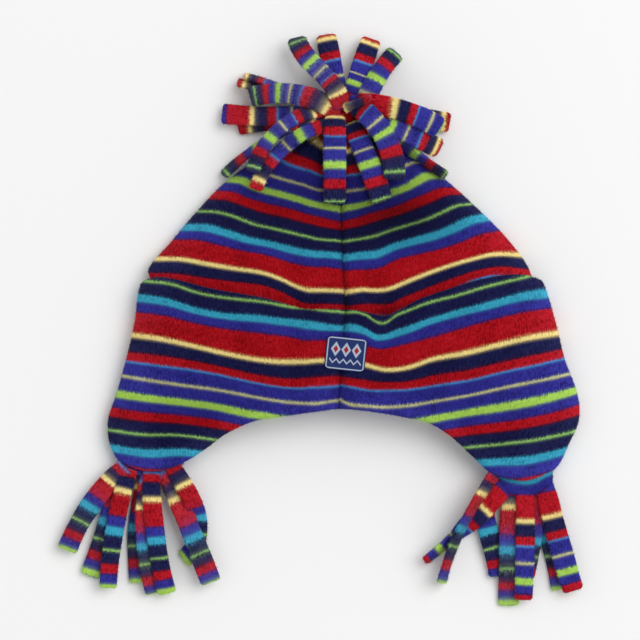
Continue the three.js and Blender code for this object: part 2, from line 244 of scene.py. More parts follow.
# Inside the band the crown keeps clear of its walls, and above it the back comes down to the table
def crownSize(side, across, y):
    above = y - bandTopAt(side, across)
    lift = 1 - easeBetween(above, *hat["tuckSlope"])
    gather = hat["gatherLift"] * easeBetween(y, *hat["gatherOver"])
    base = (hat["bandWall"] + hat["seamGap"]) * lift + gather
    near = 1 - easeBetween(above, *hat["tuckNear"])
    room = bandForm[side](y) - hat["bandWall"] - hat["seamGap"]
    half = blendTo(crownForm[side](y), np.minimum(crownForm[side](y), room), near)
    return half, crownForm["height"](y), crownForm["edge"](y) + hat["tuckSideLift"] * lift, base


def frontAt(x, y, across, edge, height):
    soft = rippleAt(x, y) - bumpsAt(x, y, ease["creases"])
    soft = soft * np.clip((1 - across) / ease["flatSide"], 0, 1)
    return frontHeight(across, edge, height) - bumpsAt(x, y, dents) + soft


def frontOver(x, y, sizeOf):
    result = np.zeros(np.shape(x))
    for side, sign in sideSign.items():
        half = sizeOf(side, np.full(np.shape(y), 0.5), y)[0]
        across = np.clip(np.abs(x) / half, 0, 1)
        _, height, edge, _ = sizeOf(side, across, y)
        here = (x * sign >= 0) & (np.abs(x) < half)
        result = np.where(here, frontAt(x, y, across, edge, height), result)
    return result


# One colour repeat of the fleece, downwards from the cream stripe, widths in mm
fleece = {
    "stripes": [
        ("cream", 3.2), ("navy", 6.8), ("red", 5.1), ("sky", 1.6), ("blue", 7.7), ("tan", 2.2),
        ("blue", 6.8), ("lime", 4.8), ("blue", 5.1), ("red", 5.7), ("navy", 5.95), ("leaf", 1.9),
        ("navy", 6.85), ("cyan", 5.1), ("blue", 5.4), ("red", 12.8),
    ],
    "colours": {  # as seen on a screen, 0 to 255
        "cream": (228, 207, 133),
        "navy": (20, 21, 64),
        "red": (160, 8, 18),
        "sky": (60, 116, 176),
        "cyan": (50, 150, 178),
        "blue": (42, 40, 130),
        "tan": (174, 173, 128),
        "lime": (158, 198, 82),
        "leaf": (128, 170, 94),
    },
    "bandStart": 26.5,  # y of the cream stripe's top edge at the seam
    "crownStart": 69.6,
    "crownScale": 0.94,
    "noises": {  # steps to a mm across and along the cloth, detail, roughness, light
        "combed": (1 / 0.8, 1 / 3.6, 2.0, 0.6, 1.0),
        "fluff": (0.9, 0.65, 3.0, 0.6, 1.2),
        "mottle": (0.32, 0.32, 2.0, 0.55, 0.4),
        "patches": (0.06, 0.08, 2.0, 0.5, 0.6),
    },
    "edgeFuzz": 1.15,  # mm, how far the fibres of two stripes run into each other
    "fadedFuzz": 2.3,
    "combFuzz": 1.6,  # strength of the combed columns in it
    "edgeBlend": 1.0,  # mm, half width of the blend between two colours
    "edgeMost": 0.32,  # the blend's largest share of a stripe
    "edgeShade": 0.9,  # light left in the blend, where the fibres part
    "darkShade": 0.5,  # the same between two dark colours
    "darkMost": 0.6,  # a dark colour's light at most, red, green and blue added up
    "edgePale": 0.2,  # share of the paler colour in the blend
    "thin": 2.0,  # mm, narrower stripes fade into their neighbours on the reverse side
    "thinFade": 0.5,
    "fadedSoft": 0.4,  # the reverse side's share of soft stripes and of a pale wash
    "fadedWash": 0.04,
    "washColour": (165, 150, 165),
    "raised": (0.88, 0.55),  # light on raised fibres, and how much less on pale colours
    "sunken": (1.4, 1.6),  # the same for the shade between them
    "glint": 0.05,  # share of the fibres' own light
    "glintColour": (150, 155, 200),
    "shadeColour": (95, 90, 110),
}
stripeEnds = np.cumsum([0] + [width for _, width in fleece["stripes"]])
repeat = stripeEnds[-1]


# A place counted in stripes, 1 for the top of the cream one, as mm of the repeat
def stripeAt(number):
    number = np.asarray(number, float) - 1
    count = len(fleece["stripes"])
    within = np.interp(number % count, np.arange(count + 1), stripeEnds)
    return np.floor(number / count) * repeat + within


# How far a stripe lies above its level, at these shares of the half width from the seam
riseShares = (0, 0.04, 0.1, 0.15, 0.19, 0.25, 0.3, 0.4, 0.55, 0.7, 0.85, 1)
bandRise = {
    "levels": (-48, -42, -32, -22, -12, -4, 2, 8, 14, 20, 26, 32, 38, 44, 50, 55),
    "left": (
        (0, 0, 0, 0.1, 0.4, 1.4, 2.5, 5, 9, 11.5, 9.3, 12.1),
        (0, 0, 0, 0.1, 0.4, 1.4, 2.5, 5, 9, 11.6, 10.7, 13.7),
        (0, 0, 0, 0.1, 0.4, 1.4, 2.5, 5, 9, 11.7, 11.6, 14.2),
        (0, 0, 0, 0.1, 0.4, 1.4, 2.5, 5, 8.9, 11.5, 12.7, 15.5),
        (0, 0, 0, 0.1, 0.4, 1.4, 2.5, 4.4, 8.8, 11.4, 13.4, 16),
        (2.1, 1.6, 0.2, 0.3, 0.7, 1.4, 2.5, 4.8, 8.4, 11.1, 13.4, 16.3),
        (2.1, 1.6, 0.4, 0.4, 0.7, 1.4, 2.3, 4.7, 8.4, 10.9, 13.7, 16.6),
        (1.2, 0.2, 0.1, -0.1, -0.2, 0.3, 1.4, 3.5, 7.7, 10.6, 13.1, 15.4),
        (1.3, 1.2, 0.7, 0, -0.5, -0.3, 0.4, 2.9, 7.3, 10.9, 13.3, 15.4),
        (2, 2, 1.9, 1.3, 0.8, 0.7, 1.1, 2.8, 6.6, 10.8, 14.4, 16.4),
        (2, 2, 2, 1.6, 1.5, 1.4, 1.5, 2.8, 6.4, 10.7, 14.7, 17.3),
        (1.6, 1.7, 1.8, 1.5, 1.6, 1.9, 1.9, 3, 6, 10.3, 14.7, 17.4),
        (0, 0.1, 0.2, -0.3, 0.1, 1.7, 2.7, 4.2, 6.6, 10, 14.3, 16.8),
        (-0.5, -0.4, -0.2, 0.2, 0.8, 2.4, 3, 4.7, 6.4, 9.7, 14.5, 16.9),
        (-1.8, -1.4, -0.5, 0.9, 1.5, 2, 2.8, 4.3, 5.4, 8.6, 14.3, 17.4),
        (-2.2, -1.5, -0.9, 0, 0.6, 1.1, 2.2, 4.4, 6.3, 9.5, 14.9, 16.8),
    ),
    "right": (
        (0, -0.8, -2, -2.7, -3, -2.7, -2, 0.4, 3.8, 5, 3.4, 7.7),
        (0, -0.8, -2, -2.7, -3, -2.7, -2, 0.4, 3.8, 5.8, 6.6, 12),
        (0, -0.8, -2, -2.7, -3, -2.7, -2, 0.6, 4, 6, 8.2, 12.5),
        (0, -0.8, -2, -2.7, -3, -2.8, -2, 1, 4.6, 6.9, 10.6, 16.3),
        (0, -0.8, -2, -2.7, -3, -2.6, -1.6, 1.6, 5.5, 8.5, 12.6, 18.2),
        (2.3, -0.6, -1.2, -1.8, -2, -1.7, -0.5, 2, 5.9, 9.9, 13.7, 17.9),
        (2.9, 0.1, -1, -1.6, -1.8, -1.3, -0.7, 1.8, 5.4, 10, 13.8, 17.7),
        (1.8, 0.4, -1.1, -1.8, -1.7, -1.4, -0.8, 1.1, 4.3, 9.1, 12.9, 17.1),
        (1.6, 0.6, -1, -1.8, -1.5, -1.7, -1.1, 1.5, 4.5, 9, 13.1, 17.3),
        (0.4, 0.1, -0.5, -2.1, -3, -2.7, -1.5, 2.6, 5.8, 10.4, 14.4, 17.2),
        (0, 0, -0.4, -2.3, -3.5, -3.2, -1.9, 2.7, 6.5, 11.1, 15.6, 18.5),
        (0, -0.3, -1, -2.9, -4.1, -4, -2.2, 2.1, 7, 11.6, 16.4, 19.9),
        (-0.2, -1.4, -3, -4.8, -4.9, -3.4, -1.8, 1.1, 6.7, 12, 16.3, 19.2),
        (-0.7, -1, -2.8, -5.8, -5.7, -3.8, -1.8, 3.3, 8.4, 12.7, 17, 19),
        (-1, -0.8, -3.4, -7.1, -6.9, -4, -2, 2.2, 7.8, 12.3, 17.3, 20.6),
        (-2.2, -1.8, -3.6, -7.6, -8.4, -3.6, -1.2, 3.4, 8, 13.1, 17.2, 21.1),
    ),
}
crownRise = {
    "levels": (48, 58, 64, 69, 74, 80, 90, 100, 110, 120, 135, 150),
    "left": (
        (-8.8, -8.5, -8.2, -8.4, -8.3, -5.3, -2, 2.4, 4.5, 7.1, 9.4, 10.5),
        (0.2, 0.4, 0.8, 0.7, 0.9, 3.9, 7.3, 11.9, 14, 16.2, 18.4, 19.5),
        (0.1, 0.4, 0.7, 0.6, 1, 3.8, 6.9, 11, 13.6, 16.3, 19.3, 19),
        (0.1, 0.4, 0.6, 0.6, 1, 3.6, 6.6, 10.8, 13.5, 16.3, 19.1, 19.9),
        (0, 0, 0.3, 0.5, 1.1, 3.2, 5.6, 9.6, 12.6, 15.1, 18, 18.9),
        (-0.4, 0.4, 1.4, 1.2, 1.8, 3.2, 4.9, 8.3, 11.1, 14.4, 17.5, 18),
        (0, 0.4, 0.8, 1, 1.7, 2.7, 3.9, 6.5, 9.3, 13.6, 16.9, 17.3),
        (-1.1, -0.6, -0.2, 0.4, 1.4, 2.8, 4, 6.1, 9.1, 13.5, 16.6, 17.5),
        (-0.9, -0.2, 1, 2.1, 3, 4.1, 5.6, 7.7, 10.4, 13.6, 17.3, 18.3),
        (-0.8, -0.2, 0.7, 1.3, 1.9, 3.3, 4.5, 6.6, 9.4, 12, 16.2, 18),
        (-0.2, 0, 0.3, 0.3, 0.5, 1.8, 3.1, 4.6, 7, 10, 13, 14.9),
        (1, 1.2, 1.5, 1.9, 2.4, 3.7, 5, 7, 9, 11, 12, 13),
    ),
    "right": (
        (-9.6, -9.2, -8.6, -8.5, -8.4, -6.9, -5, -0.5, 5.9, 10.5, 13.5, 13),
        (-0.6, -0.2, 0.4, 0.4, 0.2, 0.8, 4, 8.5, 14.9, 20.5, 23.3, 21.3),
        (-1, -0.1, 1, 0.8, 0.7, 1.9, 4.1, 8.7, 14.7, 19.6, 22.4, 21.1),
        (-0.5, 0.2, 1, 0.6, 0.6, 1.8, 4.1, 8.6, 14.4, 18.8, 22.1, 22.3),
        (-0.1, 0.5, 0.4, -0.2, -0.3, 1.6, 4.2, 8, 12.9, 16.9, 21.1, 22.9),
        (-1.2, -0.6, -0.6, -0.3, 0.4, 3.2, 5.8, 8.4, 11.7, 16, 20.7, 23.1),
        (-1.4, -0.7, 0.3, 0.7, 1, 3.4, 5.4, 8.2, 11.8, 16.3, 21.2, 23.8),
        (-1.2, -0.6, 0.3, 1.2, 2.1, 3.8, 5.4, 8, 11.7, 16.1, 20.2, 21.7),
        (-0.8, 0.2, 1.5, 3, 4.2, 5.5, 6.4, 8.6, 12.8, 16.3, 19.5, 20),
        (-0.5, 0, 0.7, 1.4, 2.1, 3.7, 5.4, 8.8, 11.8, 16, 19.4, 20),
        (0, 0.4, 1, 1.1, 1.4, 3.4, 5.6, 9, 12.6, 14.6, 16, 16.2),
        (0.7, 1.3, 2.2, 3.1, 3.8, 5, 6, 8, 10, 11.5, 13, 14),
    ),
}


settleRounds = 14


# The height at the seam of the stripe that passes here
def seamLevel(side, across, y, rise):
    levels = np.array(rise["levels"], float)
    rows = np.stack([smoothCurve(riseShares, row)(across) for row in rise[side]])
    level = np.array(y, float)
    for _ in range(settleRounds):
        place = np.interp(level, levels, np.arange(len(levels)))
        low = np.clip(place.astype(int), 0, len(levels) - 2)
        share = place - low
        lower = np.take_along_axis(rows, low[None], 0)[0]
        upper = np.take_along_axis(rows, low[None] + 1, 0)[0]
        level = y - blendTo(lower, upper, share)
    return level


# Nodes: one socket, whose sums add Math nodes
class Wire:
    def __init__(self, tree, socket=None):
        self.tree, self.socket = tree, socket

    def node(self, kind, settings=None, sockets=None, out=0):
        made = self.tree.nodes.new(kind)
        for name, value in (settings or {}).items():
            if name == "stops":
                setStops(made.color_ramp, *value)
            else:
                setattr(made, name, value)
        for name, value in (sockets or {}).items():
            if isinstance(value, Wire):
                self.tree.links.new(value.socket, made.inputs[name])
            else:
                made.inputs[name].default_value = value
        return Wire(self.tree, made.outputs[out] if made.outputs else None)

    def maths(self, operation, *values, clamp=False):
        settings = {"operation": operation, "use_clamp": clamp}
        return self.node("ShaderNodeMath", settings, dict(enumerate(values)))

    # another output of the same node
    def other(self, name):
        return Wire(self.tree, self.socket.node.outputs[name])

    def mix(self, kind, factor, a, b):
        settings = {"data_type": "RGBA", "blend_type": kind}
        return self.node("ShaderNodeMix", settings, {0: factor, 6: a, 7: b}, 2)

    def part(self, which):
        return self.node("ShaderNodeSeparateXYZ", {}, {0: self}, which)

    def noise(self, detail, roughness=0.5):
        sockets = {"Vector": self, "Scale": 1.0, "Detail": detail, "Roughness": roughness}
        return self.node("ShaderNodeTexNoise", {}, sockets)

    def scaled(self, *factors):
        return self.node("ShaderNodeVectorMath", {"operation": "MULTIPLY"}, {0: self, 1: factors})

    def __add__(self, other):
        return self.maths("ADD", self, other)

    def __radd__(self, other):
        return self.maths("ADD", other, self)

    def __sub__(self, other):
        return self.maths("SUBTRACT", self, other)

    def __rsub__(self, other):
        return self.maths("SUBTRACT", other, self)

    def __mul__(self, other):
        return self.maths("MULTIPLY", self, other)

    def __rmul__(self, other):
        return self.maths("MULTIPLY", other, self)

    def __truediv__(self, other):
        return self.maths("DIVIDE", self, other)

    def __rtruediv__(self, other):
        return self.maths("DIVIDE", other, self)


def setStops(ramp, interpolation, stops):
    ramp.interpolation = interpolation
    ramp.elements.remove(ramp.elements[1])
    ramp.elements[0].position, ramp.elements[0].color = stops[0]
    for place, colour in stops[1:]:
        ramp.elements.new(place).color = colour


def screenColour(colour, alpha=1.0):
    share = np.asarray(colour, float) / 255
    linear = np.where(share <= 0.04045, share / 12.92, ((share + 0.055) / 1.055) ** 2.4)
    return (*linear.tolist(), alpha)


def newMaterial(name):
    material = bpy.data.materials.new(name)
    material.use_nodes = True
    material.node_tree.nodes.clear()
    return material, Wire(material.node_tree)


def finishSurface(wires, sockets):
    surface = wires.node("ShaderNodeBsdfPrincipled", {}, sockets)
    wires.node("ShaderNodeOutputMaterial", {}, {"Surface": surface})


def meetingColour(one, other):
    dark, pale = sorted((one, other), key=sum)
    shade = fleece["edgeShade"] if sum(pale[:3]) > fleece["darkMost"] else fleece["darkShade"]
    return blendTo(dark, pale, fleece["edgePale"]) * shade


# Some of the stripes as a ramp over their own part of the repeat, darker where two of them meet
def stripeRamp(wires, colours, which, inRepeat):
    start, end = stripeEnds[which[0]], stripeEnds[which[-1] + 1]
    stops = []
    for k in which:
        top, bottom = stripeEnds[k], stripeEnds[k + 1]
        soft = min(fleece["edgeBlend"], (bottom - top) * fleece["edgeMost"])
        stops.append((top, meetingColour(colours[k - 1], colours[k])))
        stops += [(top + soft, colours[k]), (bottom - soft, colours[k])]
    after = (which[-1] + 1) % len(colours)
    stops.append((end, meetingColour(colours[after - 1], colours[after])))
    stops = [((place - start) / (end - start), (*colour[:3], 1)) for place, colour in stops]
    share = (inRepeat - start / repeat) * (repeat / (end - start))
    return wires.node("ShaderNodeValToRGB", {"stops": ("LINEAR", stops)}, {"Fac": share})


# cloth: mm across, mm down the stripes, share of the faded reverse side
def fleeceMaterial():
    material, wires = newMaterial("striped_fleece")
    cloth = wires.node("ShaderNodeAttribute", {"attribute_name": "cloth"}, {}, 1)
    # The tone attribute holds painted light and shade of the panels and strips, and each nap fibre's
    # random tone
    tone = wires.node("ShaderNodeAttribute", {"attribute_name": "tone"}, {}, 2)
    down, faded = cloth.part(1), cloth.part(2)
    noises = {
        name: cloth.scaled(across, along, 0).noise(detail, rough)
        for name, (across, along, detail, rough, _) in fleece["noises"].items()
    }
    combed, fluff = noises["combed"], noises["fluff"]
    fuzz = fleece["edgeFuzz"] + faded * (fleece["fadedFuzz"] - fleece["edgeFuzz"])
    place = (down + (combed - 0.5) * fleece["combFuzz"] * fuzz + (fluff - 0.5) * fuzz) / repeat
    inRepeat = place.maths("FRACT", place)
    colours = np.array([screenColour(fleece["colours"][name]) for name, _ in fleece["stripes"]])
    around = (np.roll(colours, 1, 0) + np.roll(colours, -1, 0)) / 2
    thin = np.array([width < fleece["thin"] for _, width in fleece["stripes"]])[:, None]
    softened = blendTo(colours, around, fleece["thinFade"] * thin)
    middles = (stripeEnds[:-1] + stripeEnds[1:]) / 2 / repeat
    stops = ("LINEAR", list(zip(middles, softened)))
    soft = wires.node("ShaderNodeValToRGB", {"stops": stops}, {"Fac": inRepeat})
    half = len(colours) // 2  # one ramp can't hold all the stops
    upper = stripeRamp(wires, colours, range(half), inRepeat)
    lower = stripeRamp(wires, colours, range(half, len(colours)), inRepeat)
    isLower = inRepeat.maths("GREATER_THAN", inRepeat, stripeEnds[half] / repeat)
    sharp = wires.mix("MIX", isLower, upper, lower)
    dyed = wires.mix("MIX", faded * fleece["fadedSoft"], sharp, soft)
    washed = wires.mix("MIX", faded * fleece["fadedWash"], dyed, screenColour(fleece["washColour"]))
    light = sum((noises[name] - 0.5) * look[-1] for name, look in fleece["noises"].items())
    # Positive tone is painted light, raised with the grain; negative tone is painted shade, multiplied
    # in below
    raised = light.maths("MAXIMUM", light + tone, 0.0)
    gain, loss = ((most - washed.part(1) * less) for most, less in (fleece["raised"], fleece["sunken"]))
    bright = wires.mix("ADD", raised * gain, washed, washed)
    lit = wires.mix("MIX", raised * fleece["glint"], bright, screenColour(fleece["glintColour"]))
    sunk = light.maths("MAXIMUM", light * -1.0 * loss, 0.0, clamp=True)
    dim = screenColour(fleece["shadeColour"])
    sunken = wires.mix("MULTIPLY", sunk, lit, dim)
    shaded = wires.mix("MULTIPLY", tone.maths("MAXIMUM", tone * -1.0, 0.0), sunken, dim)
    height = combed * 0.6 + fluff * 0.7
    bump = wires.node("ShaderNodeBump", {}, {"Strength": 0.75, "Distance": 0.0011, "Height": height})
    finishSurface(wires, {
        "Base Color": shaded,
        "Roughness": 0.92 - combed * 0.1,
        "Specular IOR Level": 0.06,
        "Sheen Weight": 0.12,
        "Sheen Roughness": 0.3,
        "Normal": bump,
    })
    return material


# Meshes: closed sleeves of cloth, columns of rings, whose two ends are closed flat
capMap = {"share": 0.012, "fill": 0.9}  # the ends' strips at both sides of a sleeve's map


class ClothMesh:
    def __init__(self):
        self.points, self.cloth, self.nap, self.tone, self.faces, self.places = [], [], [], [], [], []
        self.count = 0

    def addSleeve(self, points, cloth, nap, tone, box=(0, 0, 1, 1)):
        columns, ring = points.shape[:2]
        index = np.arange(columns * ring).reshape(columns, ring)
        u0, v0, u1, v1 = box
        capWide = (u1 - u0) * capMap["share"]
        u = np.linspace(u0 + capWide, u1 - capWide, columns)
        v = np.linspace(v0, v1, ring + 1)
        around = np.roll(index, -1, 1)
        faces = np.stack([index[:-1], index[1:], around[1:], around[:-1]], -1).reshape(-1, 4)
        lowU, lowV = np.meshgrid(u[:-1], v[:-1], indexing="ij")
        highU, highV = np.meshgrid(u[1:], v[1:], indexing="ij")
        quad = [(lowU, lowV), (highU, lowV), (highU, highV), (lowU, highV)]
        places = np.stack([np.stack(corner, -1) for corner in quad], -2).reshape(-1, 4, 2)
        flat = points.reshape(-1, 3)
        a, b, c, d = (flat[faces[:, i]] for i in range(4))
        inward = np.einsum("ij,ij->i", np.cross(c - a, d - b), a - flat.mean(0)).sum() < 0
        half = ring // 2
        for column, capU, turned in ((0, u0, False), (columns - 1, u1 - capWide, True)):
            for i in range(half):
                corners = list(dict.fromkeys([i, i + 1, ring - i - 1, (ring - i) % ring]))
                spotU = [capU + capWide * capMap["fill"] * (k > half) for k in corners]
                spotV = [blendTo(v0, v1, min(k, ring - k) / half) for k in corners]
                face = [int(index[column, k]) for k in corners]
                self.addFace(face, list(zip(spotU, spotV)), inward != turned)
        for face, spots in zip(faces.tolist(), places.tolist()):
            self.addFace(face, spots, inward)
        self.points.append(flat)
        self.cloth.append(cloth.reshape(-1, 3))
        self.nap.append((nap * (points[..., 2] > napLook["clear"])).reshape(-1))
        self.tone.append(np.broadcast_to(tone, points.shape[:2]).reshape(-1))
        self.count += len(flat)

    def addFace(self, face, spots, reverse):
        if reverse:
            face, spots = face[::-1], spots[::-1]
        self.faces.append([corner + self.count for corner in face])
        self.places.extend(spots)

    def piece(self, name, material):
        mesh = bpy.data.meshes.new(name)
        points = np.concatenate(self.points) + (hatX, hatY, 0)
        mesh.from_pydata((points * mm).tolist(), [], self.faces)
        setAttribute(mesh, "cloth", "FLOAT_VECTOR", "vector", np.concatenate(self.cloth))
        setAttribute(mesh, "nap", "FLOAT", "value", np.concatenate(self.nap))
        setAttribute(mesh, "tone", "FLOAT", "value", np.concatenate(self.tone))
        bakeMap(mesh, np.array(self.places))
        mesh.polygons.foreach_set("use_smooth", np.ones(len(mesh.polygons), bool))
        mesh.materials.append(material)
        mesh.update()
        made = bpy.data.objects.new(name, mesh)
        bpy.context.scene.collection.objects.link(made)
        print("made", name, len(mesh.polygons), "faces")
        return made


def setAttribute(mesh, name, kind, field, values):
    attribute = mesh.attributes.new(name, kind, "POINT")
    attribute.data.foreach_set(field, np.asarray(values, np.float32).ravel())


def bakeMap(mesh, places):
    layer = mesh.uv_layers.new(name="OFBake")
    layer.uv.foreach_set("vector", places.astype(np.float32).ravel())


# Geometry Nodes: the nap, short closed fibres over the cloth
napLook = {
    "density": 1.0e6,  # fibres to a square metre, where nap is 1
    "length": 0.0013,
    "width": 0.00012,
    "spread": 0.65,
    "lay": (0.0, -0.55, 0.0),  # which way it is brushed
    "seed": 5,
    "lengths": (0.5, 1.25),  # shortest and longest, as factors
    "tones": (-0.15, 0.85),  # darkest and palest
    "clear": 2.6,  # mm above the table, no fibres below it
    "back": 0.55,  # nap of the hat's back, of a strip's underside and of the knot
    "under": 0.5,
    "knot": 0.6,
}


def napTree():
    tree = bpy.data.node_groups.new("nap_fibres", "GeometryNodeTree")
    kinds = {
        "Cloth": "Geometry", "Density": "Float", "Length": "Float", "Width": "Float",
        "Spread": "Float", "Lay": "Vector", "Seed": "Int", "Fleece": "Material",
    }
    for name, kind in kinds.items():
        tree.interface.new_socket(name, in_out="INPUT", socket_type="NodeSocket" + kind)
    tree.interface.new_socket("Nap", in_out="OUTPUT", socket_type="NodeSocketGeometry")
    wires = Wire(tree)
    given = wires.node("NodeGroupInput")
    take = {name: given.other(name) for name in kinds}
    where = wires.node("GeometryNodeInputNamedAttribute", {"data_type": "FLOAT"}, {"Name": "nap"})
    points = wires.node("GeometryNodeDistributePointsOnFaces", {}, {
        "Mesh": take["Cloth"], "Density": where * take["Density"], "Seed": take["Seed"],
    })
    vectors, chance = "ShaderNodeVectorMath", "FunctionNodeRandomValue"
    reach = {0: (-1, -1, -1), 1: (1, 1, 1), "Seed": 3}
    astray = wires.node(chance, {"data_type": "FLOAT_VECTOR"}, reach)
    strayed = wires.node(vectors, {"operation": "SCALE"}, {0: astray, "Scale": take["Spread"]})
    laid = wires.node(vectors, {"operation": "ADD"}, {0: points.other("Normal"), 1: take["Lay"]})
    towards = wires.node(vectors, {"operation": "ADD"}, {0: laid, 1: strayed})
    turn = wires.node("FunctionNodeAlignRotationToVector", {"axis": "Z"}, {"Vector": towards})

    def between(limits, seed):
        return wires.node(chance, {"data_type": "FLOAT"}, {2: limits[0], 3: limits[1], "Seed": seed}, 1)

    long = take["Length"] * between(napLook["lengths"], 9)
    size = wires.node("ShaderNodeCombineXYZ", {}, {0: take["Width"], 1: take["Width"], 2: long})
    toned = wires.node(
        "GeometryNodeStoreNamedAttribute", {"data_type": "FLOAT", "domain": "POINT"},
        {"Geometry": points, "Name": "tone", "Value": between(napLook["tones"], 14)},
    )
    fibre = wires.node(
        "GeometryNodeMeshCone", {"fill_type": "NGON"},
        {"Vertices": 3, "Radius Top": 0.0, "Radius Bottom": 1.0, "Depth": 1.0},
    )
    placed = wires.node(
        "GeometryNodeInstanceOnPoints", {},
        {"Points": toned, "Instance": fibre, "Rotation": turn, "Scale": size},
    )
    real = wires.node("GeometryNodeRealizeInstances", {}, {"Geometry": placed})
    dressed = wires.node("GeometryNodeSetMaterial", {}, {"Geometry": real, "Material": take["Fleece"]})
    wires.node("NodeGroupOutput", {}, {"Nap": dressed})
    return tree


def addNap(cloth, tree, material, seedShift):
    holder = bpy.data.objects.new(cloth.name + "_nap", cloth.data.copy())
    bpy.context.scene.collection.objects.link(holder)
    modifier = holder.modifiers.new("nap", "NODES")
    modifier.node_group = tree
    values = {**napLook, "seed": napLook["seed"] + seedShift, "fleece": material}
    for socket in tree.interface.items_tree:
        if socket.name.lower() in values:
            modifier[socket.identifier] = values[socket.name.lower()]
    graph = bpy.context.evaluated_depsgraph_get()
    grown = holder.evaluated_get(graph)
    mesh = bpy.data.meshes.new_from_object(grown, preserve_all_data_layers=True, depsgraph=graph)
    holder.modifiers.remove(modifier)
    holder.data = mesh
    mesh.name = holder.name
    for layer in list(mesh.uv_layers):
        mesh.uv_layers.remove(layer)
    count = len(mesh.polygons) // 4  # three sides and a base to a fibre
    side = math.ceil(math.sqrt(max(count, 1)))
    cells = np.stack([np.arange(count) % side, np.arange(count) // side], -1)
    spots = cells[:, None, None, :] + np.array([(0.15, 0.15), (0.85, 0.15), (0.5, 0.85)])[None, None]
    bakeMap(mesh, np.broadcast_to(spots, (count, 4, 3, 2)).reshape(-1, 2) / side)
    print("nap", holder.name, count, "fibres")
    return holder


# Panels: half of a flattened tube of cloth, from the front seam over the side fold to the back seam
panelSteps = {
    "spacing": 1.5,
    "edgeTurn": (0, 20, 40, 60, 78, 90),  # degrees round the cut edges
    "samples": 4001,
    "closer": (1.4, 9.0),  # more columns near the front seam
    "sideShift": 300,  # mm of cloth between the two halves, and between face and lining
    "liningShift": 400,
}


def evenShares(half, height, edge, fine):
    share = np.linspace(0, 1, panelSteps["samples"])
    along = np.hypot(np.diff(half * share), np.diff(frontHeight(share, edge, height)))
    total = runningSum(along * (1 + fall(panelSteps["closer"], half * share[1:]) * fine))
    count = int(total[-1] / panelSteps["spacing"])
    return np.interp(np.linspace(0, total[-1], count), total, share)


# Painted shade along the seam and in patches, painted light along the hem and towards the side folds
def paintedPanelLight(x, y, across, hem):
    seam = fall(ease["seamShade"], x) * (1 + fall(ease["seamHem"], y)) + fall(ease["seamCreviceShade"], x)
    light = ease["foldLight"] * across**6 + fall(ease["hemLight"], y - hem)
    return light - seam - bumpsAt(x, y, ease["paintedShade"])


def halfShell(side, panel):
    sign, thick, lean = sideSign[side], panel["wall"], panel["lean"]
    middle = panel["size"](side, np.array(0.5), np.array(panel["middle"]))
    half, height, edge, _ = (float(value) for value in middle)
    ahead, behind = (evenShares(half, height, edge, fine) for fine in (1, 0))
    across = np.concatenate([ahead, behind[::-1][1:]])[:, None]
    front = (np.arange(len(across)) < len(ahead))[:, None]
    low, high = panel["lower"](side, across), panel["upper"](side, across)
    share = np.linspace(0, 1, int((float((high - low).max()) - thick) / panelSteps["spacing"]))[1:-1]
    r, turn = thick / 2, np.radians(panelSteps["edgeTurn"])
    start = low + r * (1 - np.cos(turn))
    end = high - r * (1 - np.cos(turn[::-1]))
    y = np.concatenate([start, blendTo(start[:, -1:], end[:, :1], share), end], 1)
    sunk = np.concatenate([r * (1 - np.sin(turn)), 0 * share, r * (1 - np.sin(turn[::-1]))])[None]
    halfWide, tall, edge, base = panel["size"](side, across + 0 * y, y)
    pleat = ease["pleatDepth"] * easeBetween(y, *ease["pleatOver"])
    pleat = pleat * np.cos(math.pi * ease["pleats"] * across)
    pleat = pleat * np.clip((1 - across) / ease["pleatEnd"], 0, 1)
    walls = []
    for inset in (sunk, thick - sunk):
        wide = halfWide - inset
        x = sign * (hat["seamGap"] / 2 + (wide - hat["seamGap"] / 2) * across)
        groove = fall(ease["groove"], x) * (thick - 2 * inset > 0)
        over = frontAt(x, y, across, edge, tall - inset) - groove + pleat
        under = backHeight(across, edge, base + inset, wide) + ease["backGroove"] * groove
        walls.append(np.stack([x + lean(y) * (1 - across) ** 3, y, np.where(front, over, under)], -1))
    outer, inside = walls
    gone = runningSum(np.linalg.norm(np.diff(outer, axis=0), axis=-1)) * sign
    down = panel["down"](side, np.broadcast_to(across, y.shape), y)
    cloth = np.stack([gone + panelSteps["sideShift"] * sign, down, 0 * y], -1)
    lining = cloth + (panelSteps["liningShift"], 0, 0)
    lining[..., 2] = panel["inner"]
    ring = np.concatenate([outer, inside[:, -2:0:-1]], 1)
    marks = np.concatenate([cloth, lining[:, -2:0:-1]], 1)
    nap = np.concatenate([np.where(front, 1.0, napLook["back"]) + 0 * y, 0 * y[:, -2:0:-1]], 1)
    ringX, ringY = ring[..., 0], ring[..., 1]
    return ring, marks, nap, paintedPanelLight(ringX - lean(ringY), ringY, across, low)


def crownDown(side, across, y):
    return (fleece["crownStart"] - seamLevel(side, across, y, crownRise)) / fleece["crownScale"]


def bandDown(side, across, y):
    return fleece["bandStart"] - seamLevel(side, across, y, bandRise)


# middle: y of the section that sets the columns; inner: how far the inside shows the faded reverse;
# lean: how far the seam wanders to the side, by y
panels = {
    "crown": {
        "size": crownSize,
        "lower": lambda side, across: bandTopAt(side, across) - hat["tuckDepth"],
        "upper": lambda side, across: hat["crownEnd"] + 0 * across,
        "wall": hat["crownWall"],
        "middle": 90.0,
        "down": crownDown,
        "inner": 0.9,
        "lean": smoothCurve((40, 57, 80, 105, 165), (2.2, 2.0, 0.6, -0.4, 0)),
    },
    "band": {
        "size": bandSize,
        "lower": hemAt,
        "upper": bandTopAt,
        "wall": hat["bandWall"],
        "middle": 20.0,
        "down": bandDown,
        "inner": 0.2,
        "lean": smoothCurve((-10, 0, 30, 57, 80), (-2, -1.9, -0.2, 2.0, 2.4)),
    },
}


